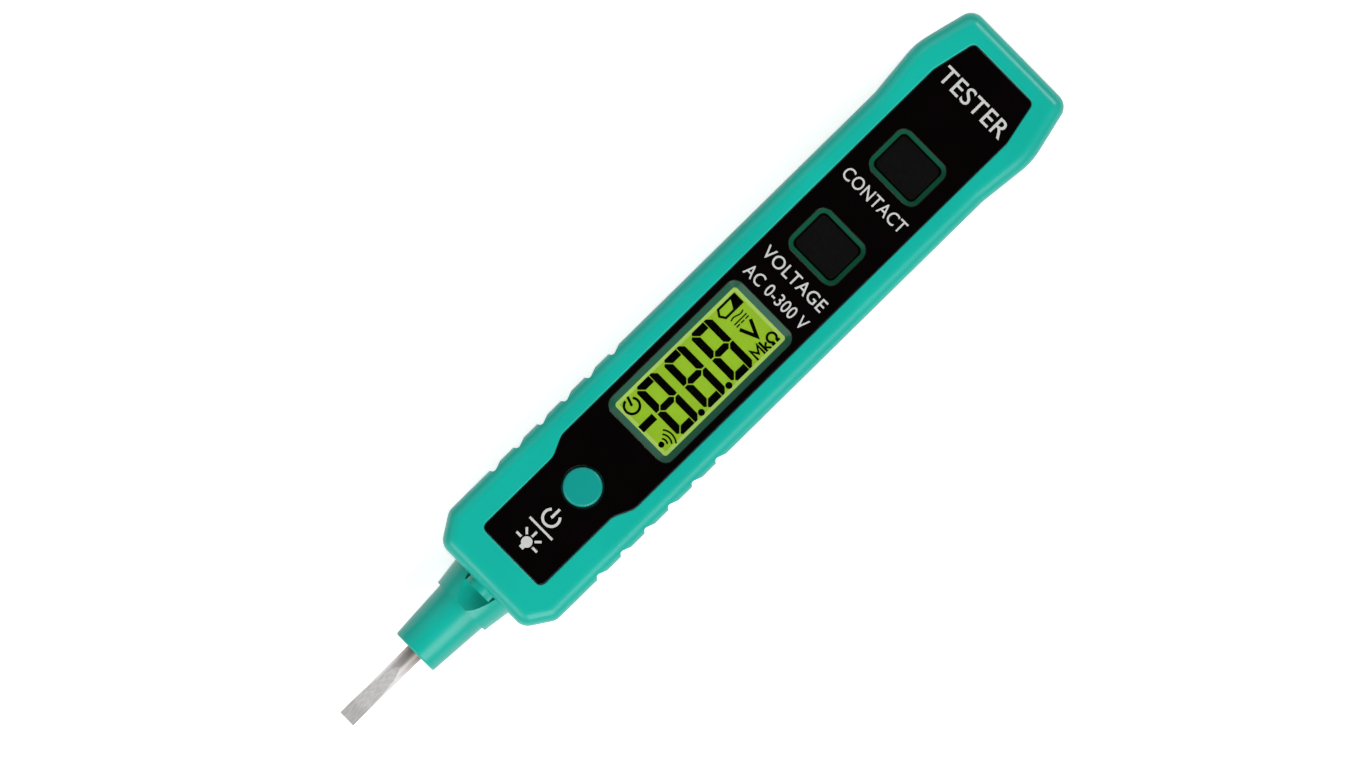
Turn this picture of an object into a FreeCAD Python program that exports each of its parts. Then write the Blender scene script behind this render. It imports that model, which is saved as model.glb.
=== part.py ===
import FreeCAD, Part
import os
import re
import Sketcher
from FreeCAD import Placement, Rotation, Vector

# Digital voltage tester pen. X runs along the pen from the blade's tip to the rear end, Y across it
# and Z from the back that it lies on up to the display face. Millimetres, origin under the middle.

SIZES = {
    # casing
    "overall_length": 150.0,
    "parting_height": 8.8,  # where the two shells meet, and the blade's axis
    "side_wall": 1.5,
    "front_wall": 1.6,
    "back_wall": 1.5,
    "shoulder": 2.3,  # rounding of the long top and bottom edges
    "corner_round": 2.5,
    "seam_chamfer": 0.15,
    "front_taper_length": 4.6,
    "front_taper_inset": 3.0,
    "bulge_swell": 1.05,  # how far the rear end swells on each side
    "bulge_rise": 10.0,
    "bulge_to_end": 10.5,
    "rear_inset": 1.5,
    "bulge_round": 12.0,
    # blade and nose
    "blade_radius": 1.5,
    "blade_reach": 15.1,
    "blade_tip_thickness": 0.6,
    "blade_flat_length": 11.6,
    "blade_land": 2.8,
    "blade_tail": 6.5,  # how far the blade goes on behind the body's front face
    "nose_length": 15.0,
    "nose_tip_radius": 4.15,
    "sleeve_root_radius": 4.78,
    "collar_length": 4.6,
    "collar_tip_radius": 5.33,
    "collar_root_radius": 5.95,
    "neck_radius": 2.1,
    "flange_radius": 2.7,
    "flange_thickness": 1.2,
    "sleeve_round": 0.4,
    "fit_gap": 0.05,
    "over_cut": 1.0,  # how far a cutting shape reaches past what it cuts
    "leaf_hold": 2.6,  # probe contact's length on the blade
    "leaf_bend": 0.6,
    "leaf_foot": 3.4,
    # torch
    "led_radius": 1.5,
    "led_rim_radius": 1.85,
    "led_length": 4.4,  # ahead of its rim
    "led_rim": 1.0,
    "led_seat": 2.0,
    "led_lead": 0.5,
    "led_lead_pitch": 2.54,
    "led_lead_on_board": 4.0,
    "led_hood_radius": 2.55,
    "led_hood_reach": 1.05,
    "scoop_radius": 3.2,
    "scoop_length": 6.1,
    "scoop_rise": 0.85,  # scoop's axis above the torch's, at the body's front face
    "scoop_slope": 0.45,
    # faceplate
    "label_recess": 0.5,
    "recess_round": 0.25,
    "label_thickness": 0.4,
    "label_gap": 0.05,
    "label_margin": 1.315,  # beside the display's well
    "label_from_front": 6.5,
    "label_step_from_front": 22.44,
    "label_step_length": 3.36,
    "label_step_inset": 1.57,
    "label_taper_to_end": 11.3,
    "label_rear_margin": 3.8,
    "label_rear_inset": 1.64,
    "label_corner": 1.1,
    # display
    "display_from_front": 48.57,
    "display_length": 26.9,
    "display_width": 11.65,
    "well_border": 1.1,
    "well_corner": 1.7,
    "window_overlap": 1.0,
    "window_thickness": 0.8,
    "gasket_thickness": 0.4,
    "gasket_band": 1.4,
    "glass_thickness": 0.7,
    "glass_margin": 0.4,
    "glass_ledge": 1.4,
    "guide_thickness": 1.2,
    "guide_light_room": 1.4,
    "frame_wall": 0.6,
    "frame_gap": 0.1,
    # circuit board
    "board_thickness": 1.0,
    "board_side_gap": 0.5,
    "board_from_front": 5.4,
    "board_past_key": 7.6,
    "board_neck_half": 5.4,
    "post_from_front": 29.5,
    "post_side": 5.7,
    "post_radius": 1.6,
    "chip_from_display": 1.5,
    "chip_side": 10.0,
    "chip_height": 1.4,
    "pin_length": 1.0,
    "pin_pitch": 0.8,
    "resistor_from_front": 11.9,
    "resistor_radius": 1.15,
    "resistor_length": 6.5,
    "resistor_wire": 0.3,
    "resistor_lead": 1.4,
    "small_part_pitch": 4.0,
    "small_part_side": 8.0,
    "small_part_long": 1.6,
    "small_part_short": 0.8,
    "small_part_start": 12.0,
    "thin_part_start": 10.0,
    "thin_part_height": 0.45,
    "crystal_from_chip": 11.0,
    "crystal_length": 2.5,
    "crystal_width": 3.2,
    "buzzer_from_front": 21.5,
    "buzzer_radius": 4.5,
    "buzzer_height": 3.2,
    "sound_hole_radius": 0.5,
    # keys and button
    "key_one_to_end": 43.1,
    "key_two_to_end": 25.2,
    "key_length": 6.95,
    "key_width": 8.6,
    "key_gap": 0.2,
    "key_border": 0.75,
    "key_corner": 1.0,
    "key_flange": 0.8,
    "key_flange_thickness": 0.8,
    "key_rise": 1.0,
    "key_spring_radius": 1.4,
    "key_spring_wire": 0.15,
    "spring_turns": 4.0,
    "button_from_front": 22.4,
    "button_radius": 3.18,
    "button_gap": 0.12,
    "button_proud": 0.45,
    "button_flange": 0.8,
    "button_flange_thickness": 0.8,
    "switch_side": 4.5,
    "switch_height": 1.2,
    "plunger_radius": 1.0,
    "plunger_height": 0.6,
    # power cells and their cover
    "cell_radius": 5.25,
    "cell_length": 44.5,
    "cell_gap": 0.1,
    "cell_side_gap": 0.15,
    "cell_board_gap": 0.15,
    "cradle_height": 0.75,
    "cell_edge": 0.5,
    "cell_nub_radius": 1.9,
    "cell_nub_length": 1.2,
    "contact_plate": 0.3,
    "cell_spring_room": 3.0,
    "cell_spring_radius": 2.6,
    "cell_spring_wire": 0.25,
    "cell_spring_turns": 3.0,
    "bay_wall": 1.0,
    "bay_to_end": 4.2,
    "plate_tab": 1.9,
    "tab_past_board": 0.5,
    "link_drop": 0.1,
    "cover_height": 4.0,
    "cover_wall": 1.2,
    "cover_gap": 0.08,
    "cover_tongue": 0.5,
    "cover_tongue_height": 2.65,
    "cover_hook": 2.0,
    "cover_hook_width": 12.0,
    "hook_bottom": 0.8,
    "hook_height": 0.62,
    "rail_wall": 0.65,
    "rail_bottom": 2.0,
    "rail_root": 0.6,
    "rail_start": 1.6,
    "rail_to_end": 6.6,
    "thumb_groove": 0.6,
    "thumb_from_end": 9.6,
    "thumb_pitch": 1.92,
    # screws
    "boss_radius": 1.7,
    "screw_radius": 0.85,
    "screw_head_radius": 1.55,
    "screw_head_height": 1.2,
    "screw_reach": 4.5,
    "board_screw_height": 0.8,
    "screw_seat": 3.6,
    "boss_foot_radius": 2.4,
    "front_boss_from_front": 7.6,
    "front_boss_side": 4.3,
    "rear_boss_side": 3.7,
    "board_screw_radius": 0.6,
    "board_screw_head": 1.2,
    "board_screw_reach": 2.2,
    # grip
    "grip_from_front": 13.3,
    "grip_pitch": 5.28,
    "grip_count": 6,
    "grip_depth": 0.56,
}

# Places worked out from the sizes above, and from each other.
PLACES = {
    "tip_x": "-overall_length / 2",
    "rear_x": "overall_length / 2",
    "half": "cell_y + cell_radius + cell_side_gap + side_wall",
    "body_width": "2 * half",
    "cell_height": "back_wall + cradle_height + cell_radius",
    "nose_x": "tip_x + blade_reach",
    "body_x": "nose_x + nose_length",
    "step_x": "body_x - collar_length",
    "bulge_x": "rear_x - bulge_to_end",
    "board_bottom": "cell_height + cell_radius + cell_board_gap",
    "board_top": "board_bottom + board_thickness",
    "glass_bottom": "board_top + guide_thickness",
    "glass_top": "glass_bottom + 2 * glass_thickness",
    "ceiling": "glass_top + gasket_thickness",
    "label_floor": "ceiling + front_wall",
    "body_height": "label_floor + label_recess",
    "label_half": "display_width / 2 + well_border + label_margin",
    "display_x": "body_x + display_from_front",
    "well_floor": "ceiling + window_thickness",
    "glass_length": "display_length + 2 * glass_margin",
    "glass_width": "display_width + 2 * glass_margin",
    "board_half": "half - side_wall - board_side_gap",
    "board_front_x": "body_x + board_from_front",
    "board_rear_x": "key_two_x + board_past_key",
    "key_one_x": "rear_x - key_one_to_end",
    "key_two_x": "rear_x - key_two_to_end",
    "key_bottom": "ceiling - key_flange_thickness",
    "button_x": "body_x + button_from_front",
    "button_bottom": "ceiling - button_flange_thickness",
    "led_z": "board_top + led_lead / 2",
    "led_rim_x": "body_x + side_wall + led_seat",
    "sleeve_end_x": "body_x + side_wall + fit_gap + flange_thickness",
    "tail_x": "body_x + blade_tail",
    "blade_top": "parting_height + blade_radius",
    "post_x": "body_x + post_from_front",
    "post_y": "half - post_side",
    "rear_post_x": "(key_one_x + key_two_x) / 2",
    "chip_x": "display_x - chip_from_display",
    "resistor_x": "body_x + resistor_from_front",
    "resistor_z": "board_bottom - resistor_radius - 0.2",
    "resistor_reach": "resistor_length / 2 + resistor_lead",
    "buzzer_x": "body_x + buzzer_from_front",
    "switch_top": "board_top + switch_height",
    "bay_rear_x": "rear_x - bay_to_end",
    "bay_x": "bay_rear_x - 2 * contact_plate - cell_spring_room - cell_length",
    "cell_x": "bay_x + contact_plate + cell_length / 2",
    "cover_inner_y": "half - cover_wall",
    "tongue_z": "cover_tongue_height",
    "rail_x": "bay_x + rail_start",
    "rail_length": "rear_x - rail_to_end - rail_x",
    "rail_y": "cover_inner_y - cover_gap - cover_tongue - rail_wall",
    "cell_y": "cell_radius + cell_gap / 2",
    "front_boss_x": "body_x + front_boss_from_front",
    "front_boss_y": "half - front_boss_side",
    "rear_boss_x": "bay_x - bay_wall - boss_radius - fit_gap",
    "rear_boss_y": "half - rear_boss_side",
}

doc = FreeCAD.newDocument("VoltageTester")
sheet = doc.addObject("Spreadsheet::Sheet", "Sizes")
for row, (alias, number) in enumerate(SIZES.items(), start=1):
    sheet.set(f"A{row}", alias)
    sheet.set(f"B{row}", str(number))
    sheet.setAlias(f"B{row}", alias)
doc.recompute()


def bound(text):
    """The expression in the sheet's own cells, with every place written out."""

    def swap(match):
        word = match.group(0)
        if word in PLACES:
            return "(" + bound(PLACES[word]) + ")"
        return "Sizes." + word if word in SIZES else word

    return re.sub(r"[a-z_]+", swap, str(text))


def mm(text):
    return float(sheet.evalExpression(bound(text)))


def bind(thing, **settings):
    """Ties properties to expressions. A double underscore in a name stands for a dot."""
    for name, text in settings.items():
        thing.setExpression(name.replace("__", "."), bound(text))


def new_body(label):
    made = doc.addObject("PartDesign::Body", label)
    made.Label = label
    return made


def new_sketch(body, name, plane="XY", level="0", lift="0"):
    """A sketch on one of the body's planes, level along its normal, lift along its own vertical."""
    sketch = body.newObject("Sketcher::SketchObject", name)
    origin = next(f for f in body.Origin.OriginFeatures if f.Role == plane + "_Plane")
    sketch.AttachmentSupport = [(origin, "")]
    sketch.MapMode = "FlatFace"
    bind(sketch, AttachmentOffset__Base__z=level, AttachmentOffset__Base__y=lift)
    return sketch


def constrain(sketch, rules):
    """Adds rules of (kind, name, text, *where), each with its own name and expression."""
    first = sketch.ConstraintCount
    sketch.addConstraint([Sketcher.Constraint(rule[0], *rule[3:], mm(rule[2])) for rule in rules])
    for i, rule in enumerate(rules, start=first):
        sketch.renameConstraint(i, rule[1])
        sketch.setExpression("Constraints." + rule[1], bound(rule[2]))


def add_outline(sketch, corners, tag="p"):
    """A closed outline. Each corner is (across, up) or (across, up, rounding radius)."""
    spots = [Vector(mm(c[0]), mm(c[1]), 0) for c in corners]
    after = spots[1:] + spots[:1]
    lines = sketch.addGeometry([Part.LineSegment(a, b) for a, b in zip(spots, after)])
    sketch.addConstraint([Sketcher.Constraint("Coincident", line, 2, following, 1)
                          for line, following in zip(lines, lines[1:] + lines[:1])])
    rules = []
    for i, (line, corner) in enumerate(zip(lines, corners)):
        rules.append(("DistanceX", f"{tag}x{i}", corner[0], -1, 1, line, 1))
        rules.append(("DistanceY", f"{tag}y{i}", corner[1], -1, 1, line, 1))
    constrain(sketch, rules)
    for i, (line, corner) in enumerate(zip(lines, corners)):
        if len(corner) > 2:
            arc = sketch.GeometryCount
            sketch.fillet(line, 1, mm(corner[2]), True, True)
            constrain(sketch, [("Radius", f"{tag}r{i}", corner[2], arc)])
    return sketch


def add_circle(sketch, across, up, radius, tag="c"):
    ring = sketch.addGeometry(Part.Circle(Vector(mm(across), mm(up), 0), Vector(0, 0, 1), mm(radius)))
    constrain(sketch, [
        ("DistanceX", tag + "x", across, -1, 1, ring, 3),
        ("DistanceY", tag + "y", up, -1, 1, ring, 3),
        ("Radius", tag + "r", radius, ring),
    ])
    return sketch


def rectangle(x, y, length, width, corner=None):
    """Corners of a rectangle about (x, y)."""
    signs = ((-1, -1), (1, -1), (1, 1), (-1, 1))
    spots = [(f"{x} + {sx} * ({length}) / 2", f"{y} + {sy} * ({width}) / 2") for sx, sy in signs]
    return [spot + (corner,) for spot in spots] if corner else spots


def mirrored(lower):
    """Corners along the pen's -Y side, then the same ones back along its +Y side."""
    upper = [(c[0], f"-({c[1]})") + tuple(c[2:]) for c in reversed(lower)]
    return lower + upper


def feature(body, kind, name, sketch, back=False, both=False, **sizes):
    made = body.newObject("PartDesign::" + kind, name)
    made.Profile = sketch
    made.Reversed = back
    made.Midplane = both
    bind(made, **sizes)
    doc.recompute()
    return made


def pad(body, name, sketch, length, back=False, both=False):
    return feature(body, "Pad", name, sketch, back, both, Length=length)


def pocket(body, name, sketch, length, back=False, both=False):
    before = body.Shape.Volume
    made = feature(body, "Pocket", name, sketch, back, both, Length=length)
    assert body.Shape.Volume < before - 1e-6, name + " cuts nothing"
    return made


def sloped_pocket(body, name, upper, lower):
    """Cuts a well whose walls run straight from one outline to the other."""
    made = body.newObject("PartDesign::SubtractiveLoft", name)
    made.Profile = upper
    made.Sections = [lower]
    made.Ruled = True
    doc.recompute()
    return made


def turned(body, kind, name, sketch, angle=360.0):
    """A Revolution or a Groove about the sketch's own horizontal axis."""
    made = body.newObject("PartDesign::" + kind, name)
    made.Profile = sketch
    made.ReferenceAxis = (sketch, ["H_Axis"])
    made.Angle = angle
    made.Midplane = True
    doc.recompute()
    return made


def rounded(body, name, radius, chosen, kind="Fillet"):
    """Rounds or chamfers the edges that chosen accepts."""
    base = body.Tip
    edges = [f"Edge{i}" for i, e in enumerate(base.Shape.Edges, start=1) if chosen(e)]
    assert edges, name + " finds no edge"
    made = body.newObject("PartDesign::" + kind, name)
    made.Base = (base, edges)
    bind(made, **({"Radius": radius} if kind == "Fillet" else {"Size": radius}))
    doc.recompute()
    return made


def lies_at(edge, level, axis="z"):
    box = edge.BoundBox
    low, high = getattr(box, axis.upper() + "Min"), getattr(box, axis.upper() + "Max")
    return abs(low - level) < 1e-4 and abs(high - level) < 1e-4


# ---- casing ----

def casing_corners(inset="0", corner="corner_round"):
    """The casing seen from above, with its walls moved in by inset."""
    return mirrored([
        (f"body_x + {inset}", f"-(half - front_taper_inset - 0.55 * {inset})", f"{corner} - {inset}"),
        (f"body_x + front_taper_length + 0.3 * {inset}", f"-(half - {inset})", f"{corner} - {inset}"),
        ("bulge_x - bulge_rise", f"-(half - {inset})", "bulge_rise"),
        ("bulge_x", f"-(half + bulge_swell - {inset})", "bulge_round"),
        (f"rear_x - {inset}", f"-(half - rear_inset - 0.8 * {inset})", f"{corner} - {inset}"),
    ])


def label_corners(gap="0"):
    """The black faceplate seen from above, or with a gap its recess."""
    narrow = f"-(label_half - label_step_inset + {gap})"
    return mirrored([
        (f"body_x + label_from_front - {gap}", narrow, "label_corner"),
        ("body_x + label_step_from_front", narrow, "label_step_length"),
        ("body_x + label_step_from_front + label_step_length", f"-(label_half + {gap})", "label_step_length"),
        ("rear_x - label_taper_to_end", f"-(label_half + {gap})", "label_step_length"),
        (f"rear_x - label_rear_margin + {gap}", f"-(label_half - label_rear_inset + {gap})", "label_corner"),
    ])


def display_corners(border, corner="well_corner"):
    return rectangle("display_x", "0", f"display_length + 2 * ({border})", f"display_width + 2 * ({border})",
                     corner)


def key_corners(place, border, corner):
    return rectangle(place, "0", f"key_length + 2 * ({border})", f"key_width + 2 * ({border})", corner)


KEY_PLACES = ("key_one_x", "key_two_x")
BOSSES = [(x, f"{side} * {y}") for x, y in (("front_boss_x", "front_boss_y"), ("rear_boss_x", "rear_boss_y"))
          for side in (-1, 1)]
BOARD_POSTS = [("post_x", "-post_y"), ("post_x", "post_y"), ("rear_post_x", "0")]


def add_grips(body, level, length):
    """Finger grooves down both sides, steep towards the blade and easing off towards the rear."""
    groove = new_sketch(body, "grip_outlines", level=level)
    front = "body_x + grip_from_front"
    for side in (-1, 1):
        add_outline(groove, [
            (front, f"{side} * (half + grip_depth)"),
            (f"{front} + 0.15 * grip_pitch", f"{side} * (half - grip_depth)", "grip_depth"),
            (f"{front} + 0.24 * grip_pitch", f"{side} * (half - grip_depth)", "grip_depth"),
            (f"{front} + 0.6 * grip_pitch", f"{side} * (half + 0.3 * grip_depth)"),
            (f"{front} + 0.6 * grip_pitch", f"{side} * (half + grip_depth)"),
        ], f"s{side + 1}")
    first = pocket(body, "grip", groove, length, back=True)
    row = body.newObject("PartDesign::LinearPattern", "grips")
    row.Originals = [first]
    row.Direction = (groove, ["H_Axis"])
    bind(row, Length="(grip_count - 1) * grip_pitch", Occurrences="grip_count")
    body.Tip = row
    doc.recompute()


def add_collar(body, side):
    """This shell's half of the ring that holds the nose sleeve. side is 1 above and -1 below."""
    profile = new_sketch(body, "collar_profile", "XZ", lift="parting_height")
    add_outline(profile, [
        ("step_x", f"{side} * (neck_radius + fit_gap)"),
        ("step_x", f"{side} * collar_tip_radius"),
        ("body_x", f"{side} * collar_root_radius"),
        ("body_x + side_wall", f"{side} * collar_root_radius"),
        ("body_x + side_wall", f"{side} * (neck_radius + fit_gap)"),
    ])
    turned(body, "Revolution", "collar", profile, 180)


def cut_neck_way(body, side):
    """Clears the neck's way through this shell's half of the front wall."""
    way = new_sketch(body, "neck_way_profile", "XZ", lift="parting_height")
    add_outline(way, [
        ("step_x - over_cut", "0"),
        ("step_x - over_cut", f"{side} * (neck_radius + fit_gap)"),
        ("body_x + 2 * side_wall", f"{side} * (neck_radius + fit_gap)"),
        ("body_x + 2 * side_wall", "0"),
    ])
    turned(body, "Groove", "neck_way", way, 180)


def front_shell():
    body = new_body("front_shell")
    outline = add_outline(new_sketch(body, "outline", level="parting_height"), casing_corners())
    pad(body, "block", outline, "body_height - parting_height")
    rounded(body, "top_edges", "shoulder", lambda edge: lies_at(edge, mm("body_height")))
    add_collar(body, 1)
    scoop = new_sketch(body, "scoop_outline", "YZ", "body_x")
    add_circle(scoop, "0", "led_z + scoop_rise", "scoop_radius")
    cut = pocket(body, "scoop", scoop, "scoop_length")
    cut.UseCustomVector = True
    cut.Direction = Vector(-1, 0, mm("scoop_slope"))
    inside = add_outline(new_sketch(body, "inside", level="parting_height"), casing_corners("side_wall"))
    pocket(body, "hollow", inside, "ceiling - parting_height", back=True)

    hood = add_circle(new_sketch(body, "hood_outline", "YZ", "body_x - led_hood_reach"), "0", "led_z",
                      "led_hood_radius")
    pad(body, "hood", hood, "led_hood_reach + side_wall + led_seat")
    bosses = new_sketch(body, "boss_outlines", level="parting_height")
    for i, (x, y) in enumerate(BOSSES):
        add_circle(bosses, x, y, "boss_radius", f"b{i}")
    pad(body, "bosses", bosses, "ceiling - parting_height")
    posts = new_sketch(body, "post_outlines", level="board_top")
    for i, (x, y) in enumerate(BOARD_POSTS):
        add_circle(posts, x, y, "post_radius", f"p{i}")
    pad(body, "posts", posts, "ceiling - board_top")

    recess = add_outline(new_sketch(body, "recess_outline", level="body_height"), label_corners("label_gap"))
    pocket(body, "recess", recess, "label_recess")
    reach = mm("label_half + label_gap + fit_gap")
    front, rear = mm("body_x + shoulder"), mm("rear_x - shoulder")
    rounded(body, "recess_edge", "recess_round",
            lambda edge: lies_at(edge, mm("body_height")) and abs(edge.BoundBox.YMax) < reach
            and abs(edge.BoundBox.YMin) < reach and front < edge.BoundBox.XMin and edge.BoundBox.XMax < rear)
    upper = add_outline(new_sketch(body, "well_top", level="label_floor"), display_corners("well_border"))
    lower = add_outline(new_sketch(body, "well_bottom", level="well_floor"),
                        display_corners("0", "well_corner / 3"))
    sloped_pocket(body, "display_well", upper, lower)
    opening = add_outline(new_sketch(body, "window_seat", level="ceiling"),
                          display_corners("window_overlap", "well_corner"))
    pocket(body, "window_rebate", opening, "window_thickness", back=True)
    for place in KEY_PLACES:
        upper = add_outline(new_sketch(body, "key_well_top", level="label_floor"),
                            key_corners(place, "key_gap + key_border", "key_corner + key_border"))
        lower = add_outline(new_sketch(body, "key_well_bottom", level="well_floor"),
                            key_corners(place, "key_gap", "key_corner"))
        sloped_pocket(body, "key_well", upper, lower)
        through = add_outline(new_sketch(body, "key_way_outline", level="well_floor"),
                              key_corners(place, "key_gap", "key_corner"))
        pocket(body, "key_way", through, "front_wall")
    hole = add_circle(new_sketch(body, "button_hole_outline", level="label_floor"), "button_x", "0",
                      "button_radius + button_gap")
    pocket(body, "button_hole", hole, "2 * front_wall")

    led_hole = add_circle(new_sketch(body, "led_hole_outline", "YZ", "body_x - led_hood_reach"), "0", "led_z",
                          "led_radius + fit_gap")
    pocket(body, "led_hole", led_hole, "led_hood_reach + 2 * side_wall + led_seat", back=True)
    cut_neck_way(body, 1)
    pilots = new_sketch(body, "pilot_outlines", level="parting_height")
    for i, (x, y) in enumerate(BOSSES):
        add_circle(pilots, x, y, "screw_radius + fit_gap", f"b{i}")
    pocket(body, "pilots", pilots, "screw_reach + fit_gap", back=True)
    holes = new_sketch(body, "post_hole_outlines", level="board_top")
    for i, (x, y) in enumerate(BOARD_POSTS):
        add_circle(holes, x, y, "board_screw_radius + fit_gap", f"p{i}")
    pocket(body, "post_holes", holes, "board_screw_reach + fit_gap", back=True)
    add_grips(body, "parting_height", "body_height")
    return body


def rear_shell():
    body = new_body("rear_shell")
    outline = add_outline(new_sketch(body, "outline"), casing_corners())
    pad(body, "block", outline, "parting_height")
    rounded(body, "back_edges", "shoulder", lambda edge: lies_at(edge, 0))
    rounded(body, "seam", "seam_chamfer", lambda edge: lies_at(edge, mm("parting_height")), "Chamfer")
    add_collar(body, -1)
    inside = add_outline(new_sketch(body, "inside", level="back_wall"), casing_corners("side_wall"))
    pocket(body, "hollow", inside, "body_height", back=True)
    bay = add_outline(new_sketch(body, "bay_outline"),
                      rectangle("(bay_x + rear_x + over_cut) / 2", "0", "rear_x + over_cut - bay_x",
                                "2 * body_width"))
    pocket(body, "cover_way", bay, "cover_height", back=True)

    bulkheads = (("bay_x - bay_wall / 2", "0.5 * back_wall"), ("bay_rear_x + bay_wall / 2", "cover_height"))
    for x, bottom in bulkheads:
        wall = add_outline(new_sketch(body, "bulkhead_outline", level=bottom),
                           rectangle(x, "0", "bay_wall", "body_width - 2.5 * side_wall"))
        pad(body, "bulkhead", wall, f"parting_height - {bottom}")
        wall = add_outline(new_sketch(body, "bulkhead_top_outline", level="parting_height - back_wall"),
                           rectangle(x, "0", "bay_wall", "body_width - 5 * side_wall"))
        pad(body, "bulkhead_top", wall, "board_bottom - 2 * board_side_gap - parting_height + back_wall")
    feet = new_sketch(body, "foot_outlines", level="0.5 * back_wall")
    for i, (x, y) in enumerate(BOSSES):
        add_circle(feet, x, y, "boss_foot_radius", f"b{i}")
    pad(body, "boss_feet", feet, "parting_height - 0.5 * back_wall")
    stop = add_outline(new_sketch(body, "stop_outline", level="0.5 * back_wall"),
                       rectangle("sleeve_end_x + side_wall / 2 + fit_gap", "0", "side_wall",
                                 "2.6 * flange_radius"))
    pad(body, "sleeve_stop", stop, "parting_height - 0.5 * back_wall")
    for side in (-1, 1):
        rail = new_sketch(body, "rail_profile", "YZ", "rail_x")
        add_outline(rail, [
            (f"{side} * rail_y", "rail_bottom"),
            (f"{side} * (cover_inner_y - cover_gap)", "rail_bottom"),
            (f"{side} * (cover_inner_y - cover_gap)", "tongue_z - cover_gap"),
            (f"{side} * (cover_inner_y - cover_gap - cover_tongue)", "tongue_z - cover_gap"),
            (f"{side} * (cover_inner_y - cover_gap - cover_tongue)", "tongue_z + cover_tongue + cover_gap"),
            (f"{side} * (cover_inner_y - cover_gap)", "tongue_z + cover_tongue + cover_gap"),
            (f"{side} * (cover_inner_y - cover_gap)", "cover_height"),
            (f"{side} * (half - side_wall / 4)", "cover_height"),
            (f"{side} * (half - side_wall / 4)", "cover_height + rail_root"),
            (f"{side} * rail_y", "cover_height + rail_root"),
        ])
        pad(body, "rail", rail, "rail_length")

    cut_neck_way(body, -1)
    tail = new_sketch(body, "tail_way_outline", "YZ", "body_x + side_wall")
    add_outline(tail, [
        ("-(blade_radius + 2 * fit_gap)", "parting_height + blade_radius"),
        ("-(blade_radius + 2 * fit_gap)", "parting_height - blade_radius - fit_gap", "blade_radius"),
        ("blade_radius + 2 * fit_gap", "parting_height - blade_radius - fit_gap", "blade_radius"),
        ("blade_radius + 2 * fit_gap", "parting_height + blade_radius"),
    ])
    pocket(body, "tail_way", tail, "2 * side_wall + 2 * flange_thickness", back=True)
    slot = add_outline(new_sketch(body, "hook_slot_outline", level="hook_bottom - cover_gap"),
                       rectangle("bay_x - cover_hook / 2", "0", "cover_hook + 2 * cover_gap",
                                 "cover_hook_width + 2 * cover_gap"))
    pocket(body, "hook_slot", slot, "hook_height + 2 * cover_gap", back=True)
    seats, ways = new_sketch(body, "screw_seat_outlines"), new_sketch(body, "screw_way_outlines")
    for i, (x, y) in enumerate(BOSSES):
        add_circle(seats, x, y, "screw_head_radius + 2 * fit_gap", f"b{i}")
        add_circle(ways, x, y, "screw_radius + 2 * fit_gap", f"b{i}")
    pocket(body, "screw_seats", seats, "screw_seat", back=True)
    pocket(body, "screw_ways", ways, "parting_height", back=True)
    sound = new_sketch(body, "sound_hole_outlines")
    for i in range(5):
        add_circle(sound, "buzzer_x", f"{i - 2} * 4 * sound_hole_radius", "sound_hole_radius", f"h{i}")
    pocket(body, "sound_holes", sound, "back_wall", back=True)
    add_grips(body, "0", "body_height")
    return body


def battery_cover():
    body = new_body("battery_cover")
    outline = add_outline(new_sketch(body, "outline"), casing_corners())
    pad(body, "block", outline, "cover_height - cover_gap")
    rounded(body, "back_edges", "shoulder", lambda edge: lies_at(edge, 0))
    rounded(body, "seam", "seam_chamfer", lambda edge: lies_at(edge, mm("cover_height - cover_gap")),
            "Chamfer")
    ahead = add_outline(new_sketch(body, "ahead_outline"),
                        rectangle("(tip_x + bay_x + cover_gap) / 2", "0", "bay_x + cover_gap - tip_x",
                                  "2 * body_width"))
    pocket(body, "front_cut", ahead, "cover_height", back=True)
    inside = add_outline(new_sketch(body, "inside", level="back_wall"), casing_corners("cover_wall"))
    pocket(body, "hollow", inside, "cover_height", back=True)
    for side in (-1, 1):
        tongue = new_sketch(body, "tongue_profile", "YZ", "rail_x + cover_tongue")
        add_outline(tongue, [
            (f"{side} * (cover_inner_y - cover_tongue)", "tongue_z"),
            (f"{side} * (cover_inner_y + cover_wall / 2)", "tongue_z"),
            (f"{side} * (cover_inner_y + cover_wall / 2)", "tongue_z + cover_tongue"),
            (f"{side} * (cover_inner_y - cover_tongue)", "tongue_z + cover_tongue"),
        ])
        pad(body, "tongue", tongue, "rail_length - 2 * cover_tongue")
    cradles = new_sketch(body, "cradle_outlines", level="0.5 * back_wall")
    for side in (-1, 1):
        add_outline(cradles, rectangle("cell_x", f"{side} * cell_y", "0.8 * cell_length", "cover_tongue * 2"),
                    f"s{side + 1}")
    pad(body, "cradles", cradles, "cell_height - cell_radius - fit_gap - 0.5 * back_wall")
    hook = add_outline(new_sketch(body, "hook_outline", level="hook_bottom"),
                       rectangle("bay_x", "0", "2 * cover_hook", "cover_hook_width"))
    pad(body, "hook", hook, "hook_height")
    thumb = new_sketch(body, "thumb_groove_outlines")
    for i in range(5):
        add_outline(thumb, rectangle(f"rear_x - thumb_from_end - {i} * thumb_pitch", "0", "thumb_groove",
                                     "body_width / 2"), f"t{i}")
    pocket(body, "thumb_grooves", thumb, "thumb_groove / 2", back=True)
    return body


# ---- nose ----

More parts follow.
